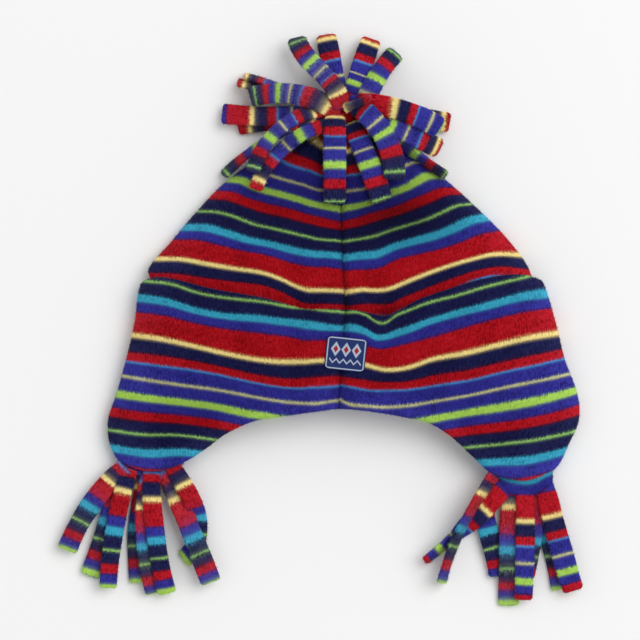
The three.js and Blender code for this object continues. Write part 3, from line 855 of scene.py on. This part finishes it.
# Fringes: cut strips, laid one over another from the lowest layer up
stripLook = {
    "width": 12.2,
    "thick": 3.3,
    "drape": 1.2,  # gap to the crown under it, less a share of the thickness
    "sink": 0.35,
    "hemReach": 4.0,  # past the hem, still held off the flap's back
    "corner": 1.9,  # radius of the cut end's corners
    "steps": 46,
    "across": 10,
    "sidePower": 0.72,  # how round the section is
    "topPower": 0.75,
    "gripShare": 0.16,  # held in the knot or the heading
    "neck": 0.14,  # narrower at the root by this share, up to this place
    "neckEnd": 0.14,
    "twistOver": 0.45,  # share of the length over which it rolls on edge
    "cup": (-0.5, 0.6),  # mm, hollow or crowned across
    "waver": (0.03, 9),  # share and turns of the uneven width
    "curl": (0.25, 14),  # mm and turns of the uneven tilt
    "slant": 0.08,  # of the stripes
    "steepest": 0.9,
    "smoothing": (1, 2, 3, 4, 3, 2, 1),
    "press": 0.3,  # of the thickness, into what lies below
    "cell": 0.8,
    "margin": 14.0,
    "lift": 0.4,  # painted light: the strips are drawn paler, as if better lit than the panels
}
# x, y: root; heading, turn, bow: degrees in plan; start, crest, tip: heights;
# roll: degrees on edge, reached at twist; first, mid, last: stripes at its root, middle and end;
# faded: how far its reverse side is up; layTo: share laid on what is below; wide: factor
stripColumns = "x y heading turn length start crest tip roll first mid last faded layer wide".split()
stripUsual = {"bow": 0, "twist": 0.3, "layTo": 1}  # a row may end with its own
topStrips = [
    (-0.5, 177, 96, 10, 51.5, 25, 30, 11, 8, 16, 22.2, 29.5, 0.7, 5, 0.95, {"bow": 33}),
    (-1, 180, 103, -3, 43, 16, 18, 5, 0, 25.7, 21.4, 16.86, 0, 0, 1),
    (4, 180, 71, 0, 42, 16, 17, 5, 0, 28, 21.65, 16.8, 0, 0, 1),
    (13, 178, 73, -26, 39, 17, 19, 2, -20, 21, 24.84, 29.2, 0.1, 1, 1),
    (-4, 178, 157.5, 5, 58, 14, 14, 6, 78, 31.1, 24.5, 17, 0.6, 1, 1),
    (-4, 177, 161, 6, 61, 11, 10, 5, 70, 29.4, 23.3, 16.76, 0.6, 0, 1),
    (-2, 174, 142, 54, 56, 24, 25, 6, -10, 16.5, 21.2, 29.5, 0.8, 4, 1),
    (-6, 173.8, 184, -10, 66, 14, 13, 6, 10, 27.2, 21.1, 15.55, 0.2, 1, 1),
    (-7, 177, 183, 72, 64, 22, 32, 24, 30, 16.1, 23.04, 29.3, 0.3, 3, 0.77),
    (-12, 172, 195, 30, 69, 18, 20, 6, 64, 16.6, 23.2, 29.2, 0.3, 1, 0.88),
    (-5, 168, 190, 60, 64, 19, 26, 26, 24, 29.2, 23.1, 16.7, 0.2, 2, 0.72),
    (-4.4, 174, 270, 0, 53, 22, 32, 32, 0, 16.8, 23.5, 28.6, 0, 3, 1.1),
    (6, 169, 293, -4, 50, 19, 28, 31, 0, 17.67, 24, 28.7, 0, 2, 1.07),
    (9, 178, 326, -58, 51, 22, 32, 31, 0, 18.36, 24.95, 29.4, 0.1, 4, 1.05),
    (14, 173, 322.5, 2, 60, 17, 22, 8, 72, 17, 23.4, 29.05, 0.2, 1, 1),
    (5, 179.6, 2, -34, 56, 22, 26, 8, 6, 15.4, 17.83, 24.3, 0, 3, 1.05),
    (5, 176.5, 355, -3, 60, 15, 14, 4, 14, 29, 23, 16.8, 0.3, 0, 1),
    (12, 175, 336, -2, 51, 16, 16, 4, -8, 29.7, 23.3, 16.74, 0.15, 1, 1),
    (-6, 174.8, 185, 3, 57, 11, 8, 3, 0, 28, 22, 16.6, 0.3, 0, 1),
    (1.6, 177, 24, -4, 17, 24, 30, 28, 62, 17.5, 18.5, 19.9, 0.3, 5, 0.55),
]
leftStrips = [
    (-20, 1, 221, 28, 62, 7, 9, 7, 6, 21, 14.8, 8.5, 0.6, 2, 1),
    (-22.5, -5, 255, -5, 63, 7, 4, 3, 0, 18.3, 14, 8.06, 0.5, 0, 1),
    (-17.2, -0.2, 252, 15, 73, 7.5, 11, 8, 0, 19.95, 15, 8.5, 0, 3, 0.88),
    (-6.5, -2, 254, 22, 67.5, 7, 3, 1.3, 16, 19.24, 14.65, 8.4, 0.6, 0, 1),
    (-4, 1, 257, 29, 77, 6, 4, 1.5, -12, 22.6, 16.1, 8.7, 0.9, 1, 1),
    (-4.5, 2, 270, 14, 78, 8, 11, 7, 0, 21.45, 15.75, 8.2, 0, 3, 0.9),
    (3, 2, 293, -2, 76, 7, 13, 9, -8, 21.3, 16.1, 8.75, 0.7, 2, 1),
    (6.5, 3.5, 303, -88, 66, 10, 8, 3, 0, 21, 15.6, 8.2, 0.2, 3, 0.88, {"bow": 28, "layTo": 0.42}),
]
rightStrips = [
    (-12.5, 2.2, 231, 26, 73, 8, 13, 9, -66, 20.2, 14.82, 8.62, 0.6, 3, 1, {"twist": 0.2}),
    (-2, 0, 230, -13, 72.5, 7, 6, 4, -68, 14.3, 19.5, 26.6, 0, 2, 1, {"twist": 0.8}),
    (-6, 1, 204, 70, 66, 7, 4, 1.8, -10, 20.97, 15.4, 9, 0.1, 0, 1, {"bow": 42}),
    (-1, 1, 265, 6, 78, 7, 4, 1.6, 6, 21, 15.4, 8.2, 1, 1, 1),
    (5.6, 2, 271.5, -4, 75, 5.5, 11, 8, 0, 13.87, 19.1, 26.6, 0, 3, 0.92),
    (14, -4, 264, -4, 56, 5, 2, 1.3, 0, 17.05, 15.55, 10.05, 0.7, 0, 1),
    (17.4, -4, 283.5, 4, 66, 6, 10, 8, 6, 15.2, 19.88, 26.9, 0, 3, 1.06),
    (9, -1, 293, -14, 69, 4, 2, 1.3, 0, 16.9, 15, 8.5, 0.6, -1, 1),
]
topKnot = {
    "x": 0.6, "y": 176, "z": 14, "rx": 10, "ry": 8, "rz": 6.5, "stripe": 16.5, "down": 2,
    "steps": 25, "folds": 9, "foldDepth": 0.08,
}
flapFringes = {
    "left": {
        "strips": leftStrips, "x": -110, "y": -38, "from": -130, "to": -95, "outside": 3.5,
        "stripe": 21.2, "down": -3.2, "z": 7.2,
    },
    "right": {
        "strips": rightStrips, "x": 104, "y": -44, "from": 92, "to": 126.6, "outside": 10.5,
        "stripe": 15.05, "down": 5.9, "z": 8.4,
    },
}
headingLook = {
    "inside": 4.0, "thick": 3.0, "steps": 40, "droop": 1.5, "tilt": -0.6, "thinEnds": 0.4, "faded": 0.1,
    "hemGuess": -40, "hemRounds": 6,  # the hem's y at each x is found from this one
}


def crownUnder(x, y):
    height = np.where(y > hat["crownTop"], 0, frontOver(x, y, crownSize))
    return np.where(height > 0, height + stripLook["drape"] - stripLook["thick"] * stripLook["sink"], 0)


def flapUnder(x, y):
    height = np.zeros(np.shape(x))
    for side, sign in sideSign.items():
        half = bandForm[side](y) - hat["bandWall"]
        across = np.clip(np.abs(x) / half, 0, 1)
        inside = (x * sign > 0) & (y > hemAt(side, across) - stripLook["hemReach"])
        back = backHeight(across, bandForm["edge"](y), hat["bandWall"], half) + hat["seamGap"]
        height = np.where(inside, back, height)
    return height


def stripRow(strip, x, y):
    row = {**stripUsual, **dict(zip(stripColumns, strip))}
    for own in strip[len(stripColumns):]:
        row.update(own)
    row["x"], row["y"] = row["x"] + x, row["y"] + y
    return row


def stripLine(row):
    corner = stripLook["corner"] / row["length"]
    cornerSteps = np.array([0.75, 0.5, 0.28, 0.12, 0.03, 0])
    straight = np.linspace(0, 1 - corner, stripLook["steps"] + 1 - len(cornerSteps))
    t = np.concatenate([straight, 1 - corner * cornerSteps])
    middle = (t[1:] + t[:-1]) / 2

    def headingAt(share):
        return np.radians(row["heading"] + row["turn"] * share + row["bow"] * np.sin(math.pi * share))

    step = row["length"] * np.diff(t)
    x = row["x"] + runningSum(np.cos(headingAt(middle)) * step)
    y = row["y"] + runningSum(np.sin(headingAt(middle)) * step)
    heading = headingAt(t)
    roll = np.radians(row["roll"]) * easeBetween(t, row["twist"] - stripLook["twistOver"], row["twist"])
    side = np.stack([-np.sin(heading) * np.cos(roll), np.cos(heading) * np.cos(roll), np.sin(roll)], -1)
    wished = (1 - t) ** 2 * row["start"] + 2 * t * (1 - t) * row["crest"] + t * t * row["tip"]
    return t, np.stack([x, y, wished], -1), side


# Nowhere steeper than cloth falls, and smooth
def easeHeights(z, drop):
    for i in range(1, len(z)):
        z[i] = max(z[i], z[i - 1] - drop[i - 1])
    for i in range(len(z) - 2, -1, -1):
        z[i] = max(z[i], z[i + 1] - drop[i])
    shares = np.array(stripLook["smoothing"])
    return np.convolve(np.pad(z, len(shares) // 2, mode="edge"), shares / shares.sum(), mode="valid")


def denser(values, times=4):
    place = np.linspace(0, len(values) - 1, len(values) * times)
    return np.stack([np.interp(place, np.arange(len(values)), column) for column in values.T], -1)


# Each strip is lifted above the ground and above the strips laid before it
def layStrips(rows, ground):
    cell, thick = stripLook["cell"], stripLook["thick"]
    lines = [stripLine(row) for row in rows]
    everywhere = np.concatenate([line[:, :2] for _, line, _ in lines])
    low, high = everywhere.min(0) - stripLook["margin"], everywhere.max(0) + stripLook["margin"]
    size = ((high - low) / cell).astype(int) + 1
    gx, gy = (low[i] + cell * np.arange(size[i]) for i in range(2))
    laid = ground(*np.meshgrid(gx, gy, indexing="ij"))

    def cells(spots):
        places = ((spots[..., :2] - low) / cell + 0.5).astype(int)
        return tuple(np.clip(places[..., i], 0, size[i] - 1) for i in range(2))

    result = [None] * len(rows)
    for k in sorted(range(len(rows)), key=lambda i: rows[i]["layer"]):
        row = rows[k]
        t, line, side = lines[k]
        reach = stripLook["width"] / 2 * row["wide"]
        over = np.linspace(-reach, reach, 9)
        spots = line[:, None, :2] + over[None, :, None] * side[:, None, :2]
        tilt = thick / 2 - over[None] * side[:, 2:]
        below = (laid[cells(spots)] + tilt).max(1)
        free = (t > stripLook["gripShare"]) & (t <= row["layTo"])
        need = np.where(free, below, ground(line[:, 0], line[:, 1]) + tilt.max(1))
        drop = row["length"] * np.diff(t) * stripLook["steepest"]
        z = easeHeights(np.maximum(line[:, 2], need), drop)
        line = np.column_stack([line[:, :2], np.maximum(z, need - stripLook["press"] * thick)])
        over = np.linspace(-reach, reach, 21)
        spots = denser(line)[:, None] + over[None, :, None] * denser(side)[:, None]
        np.maximum.at(laid, cells(spots), spots[..., 2] + thick / 2)
        result[k] = (t, line, side)
    return result


# The section of a strip, shares of its half width and half thickness, over its top and back below
def stripRing():
    angle = np.linspace(math.pi, 0, stripLook["across"] + 1)
    flat = np.sign(np.cos(angle)) * np.abs(np.cos(angle)) ** stripLook["sidePower"]
    lift = np.abs(np.sin(angle)) ** stripLook["topPower"]
    return np.concatenate([flat, flat[-2:0:-1]]), np.concatenate([lift, -lift[-2:0:-1]])


def lengthAlong(line):
    return runningSum(np.linalg.norm(np.diff(line, axis=0), axis=1))


def stripSleeve(row, t, line, side):
    look, reach = stripLook, stripLook["width"] / 2 * row["wide"]
    ringX, ringZ = stripRing()
    cup, sway = draws.uniform(*look["cup"]), draws.uniform(0, 6.28)
    corner = look["corner"]
    past = np.clip(corner - row["length"] * (1 - t), 0, corner)
    rounding = corner - np.sqrt(corner**2 - past**2)
    waver = look["waver"][0] * np.sin(t * look["waver"][1] + sway)
    wide = reach * (1 + waver - look["neck"] * easeBetween(t, look["neckEnd"], 0)) - rounding
    deep = look["thick"] / 2 * (1 - 0.6 * rounding / corner)
    ahead = np.gradient(line, axis=0)
    ahead /= np.linalg.norm(ahead, axis=1, keepdims=True)
    face = np.cross(ahead, side)
    face /= np.linalg.norm(face, axis=1, keepdims=True)
    hollow = cup * (ringX**2 - 0.4)[None] * easeBetween(t, 0.1, 0.5)[:, None]
    curl = look["curl"][0] * np.sin(t * look["curl"][1] + sway)[:, None] * ringX[None]
    up = ringZ[None] * deep[:, None] + hollow + curl
    over = wide[:, None] * ringX[None]
    points = line[:, None] + over[..., None] * side[:, None] + up[..., None] * face[:, None]
    points[..., 2] = np.maximum(points[..., 2], 0.05 + 0.3 * (ringZ > 0)[None])  # not into the table
    gone = lengthAlong(line)
    ends = stripeAt([row["first"], row["mid"], row["last"]])
    down = np.interp(gone / gone[-1], (0, 0.5, 1), ends)
    number = draws.uniform(0, 900)
    reverse = np.where(ringZ > 0.2, row["faded"], np.where(ringZ < -0.2, 1 - 0.9 * row["faded"], 0.5))
    slant = draws.uniform(-look["slant"], look["slant"])
    marks = np.stack([
        number + ringX[None] * reach + 30 * (ringZ < 0)[None] + 0 * t[:, None],
        down[:, None] + slant * ringX[None] * reach,
        reverse[None] + 0 * t[:, None],
    ], -1)
    nap = np.where(ringZ < -0.5, napLook["under"], 1.0)[None] + 0 * t[:, None]
    # The strip's tone is painted light, the same over the whole strip
    return points, marks, nap, look["lift"]


# A map cell for each of so many sleeves
def mapCells(count):
    side = math.ceil(math.sqrt(count))
    return [
        tuple((place + edge) / side for edge in (0.02, 0.98) for place in (k % side, k // side))
        for k in range(count)
    ]


# A rounded plate of cloth from a line of middles and its two half directions
def barSleeve(line, side, face, stripe, widthDown, faded):
    ringX, ringZ = stripRing()
    points = line[:, None] + ringX[None, :, None] * side[:, None] + ringZ[None, :, None] * face[:, None]
    gone = lengthAlong(line)[:, None]
    marks = np.stack([
        gone + 40 * (ringZ < 0)[None],
        stripeAt(stripe) + widthDown * ringX[None] + 0 * gone,
        np.full((len(line), len(ringX)), faded),
    ], -1)
    return points, marks


# The strips of a fringe, and the map cell left for its knot or heading
def fringeCloth(strips, ground, x=0, y=0):
    rows = [stripRow(strip, x, y) for strip in strips]
    cloth, boxes = ClothMesh(), mapCells(len(rows) + 1)
    for row, laid, box in zip(rows, layStrips(rows, ground), boxes):
        cloth.addSleeve(*stripSleeve(row, *laid), box)
    return cloth, boxes[-1]


def topFringe(material):
    cloth, box = fringeCloth(topStrips, crownUnder)
    knot = topKnot
    turn = np.linspace(0.05, 0.95, knot["steps"]) * math.pi
    x = knot["x"] - np.cos(turn) * knot["rx"]
    line = np.stack([x, 0 * turn + knot["y"], 0 * turn + knot["z"]], -1)
    bulge = np.sin(turn)[:, None] * (1 + knot["foldDepth"] * np.cos(knot["folds"] * turn))[:, None]
    side, face = bulge * (0, knot["ry"], 0), bulge * (0, 0, knot["rz"])
    points, marks = barSleeve(line, side, face, knot["stripe"], knot["down"], 0)
    cloth.addSleeve(points, marks, napLook["knot"], 0, box)
    return cloth.piece("striped_top_fringe", material)


def flapFringe(side, material):
    given, look = flapFringes[side], headingLook
    cloth, box = fringeCloth(given["strips"], flapUnder, given["x"], given["y"])
    x = np.linspace(given["from"], given["to"], look["steps"])
    hem = look["hemGuess"] + 0 * x
    for _ in range(look["hemRounds"]):
        hem = hemAt(side, np.clip(np.abs(x) / bandForm[side](hem), 0, 1))
    half = (look["inside"] + given["outside"]) / 2
    share = np.linspace(-1, 1, look["steps"])
    droop = look["droop"] * share**4
    line = np.stack([x, hem + look["inside"] - half + droop, given["z"] - droop], -1)
    deep = (look["thick"] / 2) * (1 - look["thinEnds"] * share**8)[:, None]
    outwards = np.array([[0, -half, look["tilt"]]]) + 0 * line
    face = deep * (0, 0, 1)
    points, marks = barSleeve(line, outwards, face, given["stripe"], given["down"], look["faded"])
    cloth.addSleeve(points, marks, 1.0, 0, box)
    return cloth.piece(f"striped_flap_fringe_{side}", material)


# Label: a woven patch with a pale woven line and a plain pattern of diamonds and a zigzag
label = {
    "x": 2.1, "y": 30.9, "width": 24.0, "height": 20.0, "thick": 1.0, "turn": -6.0, "corner": 3.0,
    "lift": 0.2, "edgeRound": 0.7, "edgeThin": 0.55,
    "lineIn": 0.95, "lineWide": 0.68, "spacing": 0.26, "relief": 0.16,
    "navy": (24, 48, 110), "worn": (32, 50, 104), "pale": (190, 200, 222), "red": (176, 26, 36),
    "shade": (70, 70, 84), "threads": 7.0,
    "zigzagY": -4.6, "zigzagTall": 2.4, "zigzagLong": 4.2, "zigzagWide": 1.1, "zigzagIn": 1.6,
    "diamondY": 2.4, "diamondGap": 6.2, "diamondWide": 2.9, "diamondTall": 4.4, "diamonds": 3,
}


def labelPiece():
    halfWide, halfTall, corner = label["width"] / 2, label["height"] / 2, label["corner"]
    x = np.linspace(-halfWide, halfWide, int(label["width"] / label["spacing"]))
    past = np.clip(np.abs(x) - (halfWide - corner), 0, corner)
    tall = halfTall - corner + np.sqrt(np.maximum(corner**2 - past**2, 0))
    tall = np.where(past > 0, tall, halfTall)[:, None]
    share = np.linspace(-1, 1, int(label["height"] / label["spacing"]))
    lx, ly = np.broadcast_to(x[:, None], (len(x), len(share))), tall * share[None]
    turn = math.radians(label["turn"])
    px = label["x"] + lx * math.cos(turn) - ly * math.sin(turn)
    py = label["y"] + lx * math.sin(turn) + ly * math.cos(turn)
    bed = frontOver(px, py, bandSize) + label["lift"]
    toEdge = np.minimum(halfWide - np.abs(lx), tall - np.abs(ly))
    rounded = 1 - label["edgeThin"] * np.clip(1 - toEdge / label["edgeRound"], 0, 1) ** 2
    line = np.abs(toEdge - label["lineIn"]) < label["lineWide"] / 2
    upper = np.stack([px, py, bed + label["thick"] * rounded + label["relief"] * line], -1)
    lower = np.stack([px, py, bed], -1)
    ring = np.concatenate([upper, lower[:, -2:0:-1]], 1)
    spot = np.stack([lx, ly, toEdge], -1)
    marks = np.concatenate([spot, spot[:, -2:0:-1] * (1, 1, 0)], 1)
    cloth = ClothMesh()
    cloth.addSleeve(ring, marks, 0, 0)
    return cloth.piece("woven_label", labelMaterial())


def labelMaterial():
    material, wires = newMaterial("woven_label")
    spot = wires.node("ShaderNodeAttribute", {"attribute_name": "cloth"}, {}, 1)
    x, y, toEdge = (spot.part(i) for i in range(3))

    def near(distance, reach, soft=0.12):
        inside = (reach - distance) / soft
        return inside.maths("ADD", inside, 0.5, clamp=True)

    def size(value):
        return value.maths("ABSOLUTE", value)

    border = near(size(toEdge - label["lineIn"]), label["lineWide"] / 2)
    step = label["zigzagLong"] / 2
    wave = (x.maths("PINGPONG", x + 20.0, step) / step - 0.5) * label["zigzagTall"]
    zigzag = near(size(y - label["zigzagY"] - wave), label["zigzagWide"] / 2)
    zigzag = zigzag * near(size(x), label["width"] / 2 - label["lineIn"] - label["zigzagIn"])
    gap = label["diamondGap"]
    column = x.maths("WRAP", x, gap / 2, -gap / 2)
    facet = size(column) / label["diamondWide"] + size(y - label["diamondY"]) / label["diamondTall"]
    inRow = near(size(x), gap * label["diamonds"] / 2)
    outer, inner = (near(facet, reach, 0.08) * inRow for reach in (1.0, 0.5))
    weave = spot.scaled(label["threads"], label["threads"], 0.0)
    warp, weft = (size(part.maths("SINE", part * 1.6)) for part in (weave.part(0), weave.part(1)))
    thread = warp * 0.5 + weft * 0.5
    worn = spot.scaled(0.5, 0.5, 0.0).noise(3.0) * 0.35
    colour = wires.mix("MIX", worn, screenColour(label["navy"]), screenColour(label["worn"]))
    for share, name in ((border, "pale"), (zigzag, "pale"), (outer, "pale"), (inner, "red")):
        colour = wires.mix("MIX", share, colour, screenColour(label[name]))
    woven = wires.mix("MULTIPLY", 0.45 - thread * 0.4, colour, screenColour(label["shade"]))
    bump = wires.node("ShaderNodeBump", {}, {"Strength": 0.5, "Distance": 0.0002, "Height": thread})
    finishSurface(wires, {
        "Base Color": woven,
        "Roughness": 0.62 - thread * 0.16,
        "Specular IOR Level": 0.2,
        "Normal": bump,
    })
    return material


# Stage: a pale floor, a wide soft light from above the crown and an even room
stage = {
    "floorSize": 6.0,
    "floorColour": (0.93, 0.93, 0.93, 1.0),
    "lightPlace": (3.2, 2.0, 5.5),
    "lightSize": 5.0,
    "lightPower": 255.0,
    "roomLight": 0.6,
    "lens": 220.0,
    "frameWide": 384.0,  # mm across the picture
    "middle": (-13.2, 51.0),  # mm on the hat
    "focusHeight": 10.0,
    "farthest": 50.0,  # m
}


def buildStage():
    size = stage["floorSize"] / 2
    corners = [(-size, -size, 0), (size, -size, 0), (size, size, 0), (-size, size, 0)]
    mesh = bpy.data.meshes.new("floor")
    mesh.from_pydata(corners, [], [(0, 1, 2, 3)])
    floor = bpy.data.objects.new("floor", mesh)
    bpy.context.scene.collection.objects.link(floor)
    material, wires = newMaterial("pale_floor")
    colour = stage["floorColour"]
    finishSurface(wires, {"Base Color": colour, "Roughness": 0.85, "Specular IOR Level": 0.1})
    mesh.materials.append(material)
    lamp = bpy.data.lights.new("soft_light", "AREA")
    lamp.shape, lamp.size, lamp.energy = "SQUARE", stage["lightSize"], stage["lightPower"]
    light = bpy.data.objects.new("soft_light", lamp)
    light.location = stage["lightPlace"]
    light.rotation_euler = (-Vector(stage["lightPlace"])).to_track_quat("-Z", "Y").to_euler()
    bpy.context.scene.collection.objects.link(light)
    world = bpy.data.worlds.new("room")
    world.use_nodes = True
    room = world.node_tree.nodes["Background"].inputs
    room["Color"].default_value, room["Strength"].default_value = (1, 1, 1, 1), stage["roomLight"]
    bpy.context.scene.world = world
    lens = bpy.data.cameras.new("camera")
    lens.lens, lens.sensor_width = stage["lens"], 36.0
    camera = bpy.data.objects.new("camera", lens)
    away = stage["frameWide"] * stage["lens"] / lens.sensor_width
    middle = stage["middle"]
    camera.location = Vector((middle[0] + hatX, middle[1] + hatY, away + stage["focusHeight"])) * mm
    lens.clip_end = stage["farthest"]
    bpy.context.scene.collection.objects.link(camera)
    bpy.context.scene.camera = camera
    bpy.context.scene.view_settings.view_transform = "Standard"


def settle(piece, slot, *nodes):
    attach(piece, "root")
    if nodes:
        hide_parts(*nodes)


buildStage()
fleeceCloth = fleeceMaterial()
fibres = napTree()
pieces = []
for side in sideSign:
    for kind, panel in panels.items():
        shell = ClothMesh()
        shell.addSleeve(*halfShell(side, panel))
        made = shell.piece(f"striped_{kind}_{side}", fleeceCloth)
        pieces.append((made, f"{kind}_fleece", f"{kind}_{side}"))
    pieces.append((flapFringe(side, fleeceCloth), "fringe_fleece", f"flap_fringe_{side}"))
pieces.append((topFringe(fleeceCloth), "fringe_fleece", "top_fringe"))
settle(labelPiece(), "label_weave", "label")
for number, (piece, slot, node) in enumerate(pieces):
    settle(piece, slot, node)
    settle(addNap(piece, fibres, fleeceCloth, number), slot)
